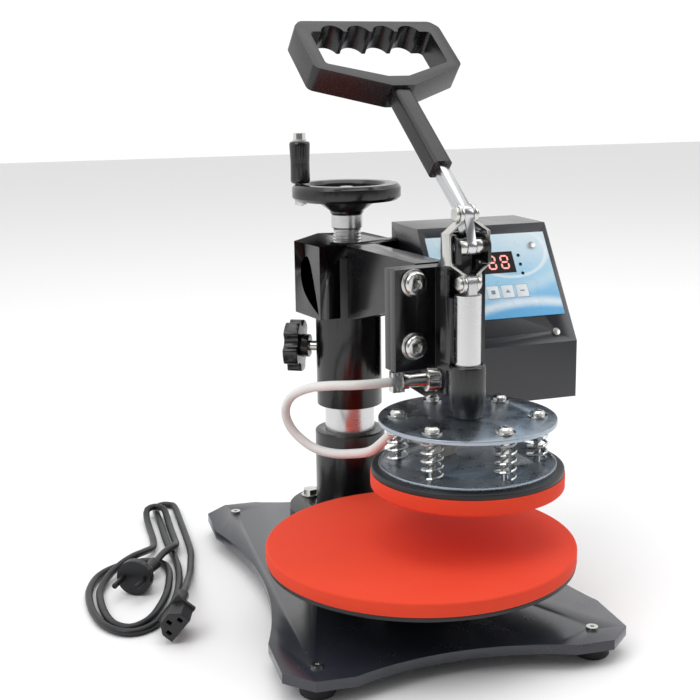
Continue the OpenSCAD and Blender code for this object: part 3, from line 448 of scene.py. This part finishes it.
def finished(node: str, finish: Finish, crease: float = 40.0) -> None:
    """Gives a CAD node its material and smooth shading, with its shape left alone.

    Args:
        node: The CAD node.
        finish: What it is finished in.
        crease: Edges sharper than this many degrees stay sharp.
    """
    target = frame["nodes"][node]
    target.data.materials.clear()
    target.data.materials.append(finish.material())
    target.data.shade_smooth()
    target.data.set_sharp_from_angle(angle=math.radians(crease))
    LOG.info("%s: %s", node, finish.name)


def smooth_route(route: list[tuple[float, float, float]], step: float) -> list[Vector]:
    """Samples a Catmull-Rom curve through a route.

    Args:
        route: The chosen points, in millimetres.
        step: The wanted spacing, in millimetres.

    Returns:
        Points along the curve, in millimetres.
    """
    points = [Vector(p) for p in route]
    fine: list[Vector] = []
    for i in range(len(points) - 1):
        a, b, c = points[max(i - 1, 0)], points[i], points[i + 1]
        d = points[min(i + 2, len(points) - 1)]
        parts = max(1, round((c - b).length / step))
        for k in range(parts):
            t = k / parts
            bent = (2 * a - 5 * b + 4 * c - d) * t * t + (3 * b - a - 3 * c + d) * t**3
            fine.append(0.5 * (2 * b + (c - a) * t + bent))
    fine.append(points[-1])
    return fine


def tube_mesh(name: str, points: list[Vector], radius: float, sides: int) -> bpy.types.Mesh:
    """Sweeps a round section along points without twist.

    Args:
        name: The mesh's name.
        points: The centreline, in metres.
        radius: The section's radius, in metres.
        sides: Points round the section.

    Returns:
        A closed tube.
    """
    work = bmesh.new()
    rings = []
    last = len(points) - 1
    side = Vector((0, 0, 1))
    for i, point in enumerate(points):
        along = (points[min(i + 1, last)] - points[max(i - 1, 0)]).normalized()
        side = (side - along * side.dot(along)).normalized()
        other = along.cross(side)
        turns = [2 * math.pi * k / sides for k in range(sides)]
        offsets = [radius * (math.cos(turn) * side + math.sin(turn) * other) for turn in turns]
        rings.append([work.verts.new(point + offset) for offset in offsets])
    for first, second in zip(rings, rings[1:]):
        for k in range(sides):
            work.faces.new((first[k], first[(k + 1) % sides], second[(k + 1) % sides], second[k]))
    work.faces.new(list(reversed(rings[0])))
    work.faces.new(rings[-1])
    mesh = bpy.data.meshes.new(name)
    work.to_mesh(mesh)
    work.free()
    mesh.shade_smooth()
    return mesh


def length_of(points: list[Vector]) -> float:
    """The length of a chain of points."""
    return sum((b - a).length for a, b in zip(points, points[1:]))


def arm_point(x: float, y: float, z: float) -> Vector:
    """Takes a point on the arm, in millimetres from the column, into the row frame in metres."""
    return COLUMN + Matrix.Rotation(math.radians(ARM_SWING), 3, "Z") @ (Vector((x, y, z)) * MM)


@dataclass
class Studio:
    """Camera, lights, room and floor, in degrees and metres but for what is named in millimetres."""

    lens_mm: float = 63.83
    stand_mm: tuple[float, float, float] = (-296.61, -1116.55, 440.41)
    yaw: float = -14.93
    pitch: float = 12.53
    roll: float = -0.86
    dark: float = 0.22
    white: float = 1.02
    dark_from: float = -0.75
    white_from: float = 0.15
    aim: tuple[float, float, float] = (0, -0.05, 0.2)
    floor_half: float = 6.0
    floor_drop: float = 0.0002

    def camera(self) -> None:
        """Sets the camera at the viewing angle."""
        yaw, pitch, roll = (math.radians(v) for v in (self.yaw, self.pitch, self.roll))
        ahead = Vector((-math.sin(yaw) * math.cos(pitch), math.cos(yaw) * math.cos(pitch), -math.sin(pitch)))
        right = Vector((math.cos(yaw), math.sin(yaw), 0))
        up = right.cross(ahead)
        turned = right * math.cos(roll) + up * math.sin(roll)
        raised = up * math.cos(roll) - right * math.sin(roll)
        data = bpy.data.cameras.new("camera")
        data.lens = self.lens_mm
        data.sensor_width = 36.0
        data.clip_end = 50.0
        view = bpy.data.objects.new("camera", data)
        axes = Matrix((turned, raised, -ahead)).transposed().to_4x4()
        view.matrix_world = Matrix.Translation(COLUMN + Vector(self.stand_mm) * MM) @ axes
        bpy.context.scene.collection.objects.link(view)
        bpy.context.scene.camera = view

    def light(self, name: str, place: tuple[float, float, float], size: float, power: float) -> None:
        """Adds a soft lamp that faces the press.

        Args:
            name: The lamp's name.
            place: Where it stands, in metres.
            size: The side of its square face, in metres.
            power: Its power, in watts.
        """
        data = bpy.data.lights.new(name, "AREA")
        data.size = size
        data.energy = power
        lamp = bpy.data.objects.new(name, data)
        lamp.location = place
        lamp.rotation_euler = (Vector(self.aim) - Vector(place)).to_track_quat("-Z", "Y").to_euler()
        bpy.context.scene.collection.objects.link(lamp)

    def world(self) -> None:
        """Surrounds the press with a white room that is darker on the viewer's side."""
        world = bpy.data.worlds.new("studio")
        world.use_nodes = True
        tree = world.node_tree
        place = add(tree, "ShaderNodeTexCoord").outputs["Generated"]
        parts = add(tree, "ShaderNodeSeparateXYZ", None, {"Vector": place})
        light = add(
            tree, "ShaderNodeMapRange",
            {
                "From Min": self.dark_from, "From Max": self.white_from,
                "To Min": self.dark, "To Max": self.white,
            },
            {"Value": parts.outputs["Y"]}, interpolation_type="SMOOTHSTEP",
        )
        room = tree.nodes["Background"]
        room.inputs["Color"].default_value = (1.0, 1.0, 1.0, 1.0)
        tree.links.new(light.outputs[0], room.inputs["Strength"])
        bpy.context.scene.world = world

    def build(self) -> None:
        """Adds the lamps, the room, the floor and the picture's plain tone curve."""
        self.light("lamp_left", (-1.7, -0.9, 2.0), 1.4, 16.0)
        self.light("lamp_right", (1.9, -0.6, 1.6), 1.2, 9.0)
        self.light("lamp_top", (0.1, 0.1, 2.4), 2.2, 20.0)
        self.world()
        bpy.context.scene.view_settings.view_transform = "Standard"
        work = bmesh.new()
        bmesh.ops.create_grid(work, x_segments=2, y_segments=2, size=self.floor_half)
        mesh = bpy.data.meshes.new("floor")
        work.to_mesh(mesh)
        work.free()
        mesh.materials.append(FLOOR_PAPER.material())
        floor = bpy.data.objects.new("floor", mesh)
        floor.location.z = -self.floor_drop
        bpy.context.scene.collection.objects.link(floor)
        LOG.info("studio: three lamps, a room and a floor")


@dataclass
class Leads:
    """The mains lead on the floor and the white lead of the heater, in millimetres."""

    mains_d: float = 6.5
    heater_d: float = 8.4
    mains_route: list[tuple[float, float, float]] = field(default_factory=lambda: [
        (-208, -6, 16.6), (-203, 14, 13), (-198, 38, 9), (-192, 66, 5), (-187, 96, 3.5),
        (-183, 130, 3.5), (-182, 200, 3.5), (-182, 250, 3.5), (-185, 258, 3.5), (-192, 262, 3.5),
        (-199, 258, 3.5), (-202, 250, 3.5), (-202, 200, 3.5), (-202, 150, 3.5), (-200, 112, 3.5),
        (-200, 84, 3.5), (-203, 56, 3.5), (-208, 30, 3.5), (-216, 4, 3.5), (-227, -18, 3.5),
        (-240, -33, 3.5), (-254, -37, 3.5), (-267, -28, 3.5), (-277, -8, 3.5), (-282, 24, 3.5),
        (-281, 58, 3.5), (-271, 88, 3.5), (-254, 105, 3.5), (-236, 111, 3.5), (-221, 109, 3.5),
        (-211, 98, 3.5), (-209, 80, 3.5), (-212, 56, 3.5), (-217, 32, 3.5), (-225, 8, 3.5),
        (-234, -12, 3.5), (-244, -24, 3.5), (-254, -28, 3.5), (-264, -20, 3.5), (-270, -3, 3.5),
        (-273, 24, 3.5), (-272, 54, 3.5), (-263, 79, 6), (-250, 95, 10), (-238, 110, 10),
        (-226, 124, 8), (-217, 140, 5), (-214, 165, 3.5), (-214, 200, 3.5), (-214, 222, 6),
        (-212, 233, 10), (-204, 239, 10.5), (-196, 233, 10), (-194, 222, 6), (-194, 200, 3.5),
        (-194, 160, 3.5), (-195, 140, 6), (-199, 124, 10), (-210, 108, 11), (-221, 86, 10.5),
    ])
    heater_route: list[tuple[float, float, float]] = field(default_factory=lambda: [
        (-14, -111, 178), (-26, -110, 178), (-44, -102, 177), (-60, -82, 174), (-70, -60, 168),
        (-78, -42, 158), (-81, -33, 144), (-78, -32, 130), (-71, -38, 118), (-61, -52, 109),
        (-51, -72, 108), (-42, -92, 112), (-34, -110, 118), (-28, -124, 130), (-24.4, -132, 138.5),
        (-22.1, -139, 140.5), (-20.2, -145.5, 140.5),
    ])

    def mains(self) -> None:
        """Lays the mains lead on the floor, from the connector to the wall plug."""
        points = [p * MM for p in smooth_route(self.mains_route, 5.0)]
        mesh = tube_mesh("mains_lead", points, self.mains_d / 2 * MM, 14)
        lead = new_object("mains_lead", mesh, PVC.material(), "stand")
        plug = softened("wall_plug", PVC, Edge.BROKEN)
        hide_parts("mains_cord")
        LOG.info("mains lead: %.2f m", length_of(points))

    def heater(self) -> None:
        """Hangs the heater's lead between the box's plug and the terminal block."""
        points = [arm_point(*p) for p in smooth_route(self.heater_route, 3.0)]
        mesh = tube_mesh("heater_cable", points, self.heater_d / 2 * MM, 18)
        lead = bpy.data.objects.new("heater_cable", mesh)
        mesh.materials.append(WHITE_SILICONE.material())
        bpy.context.scene.collection.objects.link(lead)
        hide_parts("heater_lead")
        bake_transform(lead)
        LOG.info("heater lead: %.2f m", length_of(points))


@dataclass
class Stand:
    """Base plate, feet, column and lower bed."""

    def build(self) -> None:
        """Dresses the standing pieces."""
        softened("base_plate", SLATE_POWDER, Edge.BROKEN)
        softened("rubber_feet", FOOT_RUBBER, Edge.BROKEN)
        finished("foot_screws", NICKEL)
        softened("column_flange", BLACK_POWDER, Edge.BROKEN)
        softened("column_bolts", NICKEL, Edge.CRISP)
        softened("column_tube", BLACK_POWDER, Edge.BROKEN)
        finished("column_shaft", SHAFT_STEEL)
        softened("pedestal", BLACK_POWDER, Edge.BROKEN)
        softened("lower_platen", HEATER_PAINT, Edge.BROKEN)
        softened("lower_pad", RED_SILICONE, Edge.BROKEN)
        softened("mains_connector", PVC, Edge.BROKEN)
        finished("thrust_washer", BRONZE)


@dataclass
class Column:
    """Handwheel, screw, crank and lock knob."""

    def build(self) -> None:
        """Dresses what turns about the column."""
        finished("adjust_screw", SHAFT_STEEL)
        softened("handwheel", PHENOLIC, Edge.SOFT)
        softened("wheel_nut", NICKEL, Edge.CRISP)
        softened("crank_grip", PHENOLIC, Edge.BROKEN)
        softened("crank_bolt", NICKEL, Edge.CRISP)
        softened("lock_knob", PHENOLIC, Edge.BROKEN)
        finished("lock_screw", NICKEL)
        finished("clamp_shoe", BRONZE)


@dataclass
class Arm:
    """Sleeve, block, web, flange and guide."""

    def build(self) -> None:
        """Dresses the arm."""
        finished("sleeve_bushes", BRONZE)
        softened("arm_sleeve", BLACK_POWDER, Edge.BROKEN)
        softened("arm_block", BLACK_POWDER, Edge.SOFT)
        softened("arm_web", BLACK_POWDER, Edge.BROKEN)
        softened("arm_flange", BLACK_POWDER, Edge.BROKEN)
        softened("guide_channel", BLACK_POWDER, Edge.BROKEN)
        softened("guide_bolts", NICKEL, Edge.BROKEN)
        softened("pivot_pin", NICKEL, Edge.CRISP)


@dataclass
class Toggle:
    """Lever, links and plunger."""

    def build(self) -> None:
        """Dresses the toggle and the rod that it drives."""
        softened("lever_bar", BAR_STEEL, Edge.BROKEN)
        softened("lever_grip", GRIP_PLASTIC, Edge.MOULDED, segments=5, angle=50.0)
        softened("upper_pin", NICKEL, Edge.CRISP)
        softened("link_plates", NICKEL, Edge.BROKEN)
        softened("lower_rivets", NICKEL, Edge.CRISP)
        finished("plunger_rod", SHAFT_STEEL)
        finished("slide_block", BAR_STEEL)
        softened("rod_boss", BLACK_POWDER, Edge.BROKEN)


@dataclass
class Head:
    """Spring plates, springs and the heated pad."""

    def build(self) -> None:
        """Dresses the head."""
        softened("top_plate", ZINC, Edge.BROKEN)
        softened("lower_plate", ZINC, Edge.CRISP)
        softened("spring_bolts", NICKEL, Edge.CRISP)
        finished("springs", NICKEL)
        softened("heater_body", HEATER_PAINT, Edge.BROKEN)
        softened("upper_pad", RED_SILICONE, Edge.BROKEN)
        softened("terminal_block", CERAMIC, Edge.CRISP)


@dataclass
class ControlBox:
    """The box, its printed face, display, keys and rear fittings, in millimetres and degrees."""

    width: float = 127.5
    top_z: float = 303.5
    top_depth: float = 64.5
    slope: float = math.degrees(math.atan2(99.5, 66.5))
    corner: tuple[float, float] = (45.6, -2.8)
    turn: float = -7.2
    bar: float = 1.7
    bar_gap: float = 0.25
    digit_size: tuple[float, float] = (8.4, 14.0)
    digit_pitch: float = 12.6
    digit_top: float = 31.5
    digit_heights: tuple[float, float] = (1.0, 1.25)
    key_middle: tuple[float, float] = (65.0, 67.5)
    key_pitch: float = 14.4
    mark_heights: tuple[float, float] = (1.15, 1.26)

    def on_slope(self, x: float, down: float, out: float) -> Vector:
        """Takes a point on the sloped face into the row frame.

        Args:
            x: Distance from the box's left edge, in millimetres.
            down: Distance down the slope, in millimetres.
            out: Height above the face, in millimetres.

        Returns:
            The point, in metres.
        """
        tilt = math.radians(self.slope)
        y = -self.top_depth - down * math.cos(tilt) - out * math.sin(tilt)
        z = self.top_z - down * math.sin(tilt) + out * math.cos(tilt)
        spun = Matrix.Rotation(math.radians(self.turn), 3, "Z") @ Vector((x, y, 0))
        return arm_point(self.corner[0] + spun.x, self.corner[1] + spun.y, z)

    def plates(
        self, name: str, shapes: list[list[tuple[float, float]]], low: float, high: float,
        finish: bpy.types.Material, body: str, slot: str,
    ) -> None:
        """Adds thin raised shapes on the sloped face.

        Args:
            name: The piece's name.
            shapes: Outlines as (across, down) points, in millimetres.
            low: Where each shape starts above the face, in millimetres.
            high: Where it ends.
            finish: Its material.
            body: The body that it rides on.
            slot: The record's material slot; not used.
        """
        work = bmesh.new()
        for outline in shapes:
            under = [work.verts.new(self.on_slope(x, d, low)) for x, d in outline]
            over = [work.verts.new(self.on_slope(x, d, high)) for x, d in outline]
            work.faces.new(over)
            work.faces.new(list(reversed(under)))
            for i in range(len(outline)):
                j = (i + 1) % len(outline)
                work.faces.new((under[i], under[j], over[j], over[i]))
        bmesh.ops.recalc_face_normals(work, faces=work.faces)
        mesh = bpy.data.meshes.new(name)
        work.to_mesh(mesh)
        work.free()
        piece = new_object(name, mesh, finish, body)
        LOG.info("%s: %d shapes", name, len(shapes))

    def digit(
        self, left: float, top: float, wide: float, tall: float, lit: str
    ) -> list[list[tuple[float, float]]]:
        """Outlines of one seven-segment digit.

        Args:
            left: Left edge across the face, in millimetres.
            top: Upper edge down the slope, in millimetres.
            wide: The digit's width.
            tall: The digit's height.
            lit: The lit segments, as letters a to g.

        Returns:
            One outline for each lit segment.
        """
        t, g = self.bar, self.bar_gap
        half = tall / 2
        far = left + wide - t
        rows = {"a": top, "g": top + half - t / 2, "d": top + tall - t}
        columns = {"f": (left, top), "b": (far, top), "e": (left, top + half), "c": (far, top + half)}
        shapes = []
        for letter in lit:
            if letter in rows:
                y = rows[letter]
                shapes.append([
                    (left + t / 2 + g, y + t / 2), (left + t + g, y), (left + wide - t - g, y),
                    (left + wide - t / 2 - g, y + t / 2), (left + wide - t - g, y + t), (left + t + g, y + t),
                ])
            else:
                x, y = columns[letter]
                shapes.append([
                    (x + t / 2, y + t / 2 + g), (x + t, y + t + g), (x + t, y + half - t - g),
                    (x + t / 2, y + half - t / 2 - g), (x, y + half - t - g), (x, y + t + g),
                ])
        return shapes

    def build(self) -> None:
        """Dresses the box and adds its display and key marks."""
        softened("box_shell", BOX_PAINT, Edge.SOFT)
        # The back wears a darker copy of the box paint, which is painted shade.
        softened("box_back", BOX_PAINTED_SHADE, Edge.CRISP)
        softened("box_screws", NICKEL, Edge.CRISP)
        finished("control_board", BOARD)
        film = frame["nodes"]["fascia"]
        film.data.materials.clear()
        film.data.materials.append(PrintedFilm().material())
        finished("display_window", LENS_DARK)
        finished("indicator_leds", LENS_DARK)
        for key in ("button_down", "button_set", "button_up", "button_mode"):
            softened(key, KEY_WHITE, Edge.BROKEN)
        softened("power_inlet", PVC, Edge.CRISP)
        softened("power_switch", ROCKER_RED, Edge.BROKEN)
        softened("heater_plug", NICKEL, Edge.CRISP)
        wide, tall = self.digit_size
        segments = []
        for i in (-1, 0, 1):
            left = self.width / 2 + i * self.digit_pitch - wide / 2
            segments += self.digit(left, self.digit_top, wide, tall, "abcdefg")
        lit = LitSegment().material()
        self.plates("display_digits", segments, *self.digit_heights, lit, "arm", "led_lens")
        marks = {
            "key_down": ("mark_down", -1.5, [(-2.4, -1.2), (2.4, -1.2), (0, 2.0)]),
            "key_set": ("mark_set", -0.5, [(-1.9, -1.9), (1.9, -1.9), (1.9, 1.9), (-1.9, 1.9)]),
            "key_up": ("mark_up", 0.5, [(-2.4, 1.2), (2.4, 1.2), (0, -2.0)]),
            "key_mode": ("mark_mode", 1.5, [(-2.2, -0.6), (2.2, -0.6), (2.2, 0.6), (-2.2, 0.6)]),
        }
        for body, (name, place, outline) in marks.items():
            x, down = self.key_middle[0] + place * self.key_pitch, self.key_middle[1]
            shape = [(x + a, down + b) for a, b in outline]
            self.plates(name, [shape], *self.mark_heights, KEY_MARK.material(), body, "white_keys")


def main() -> None:
    """Builds the studio, the leads and each sub-assembly, in that order."""
    studio = Studio()
    studio.camera()
    leads = Leads()
    leads.mains()
    leads.heater()
    studio.build()
    for assembly in (Stand(), Column(), Arm(), Toggle(), Head(), ControlBox()):
        assembly.build()
        LOG.info("%s done", type(assembly).__name__)


if __name__ == "__main__":
    main()
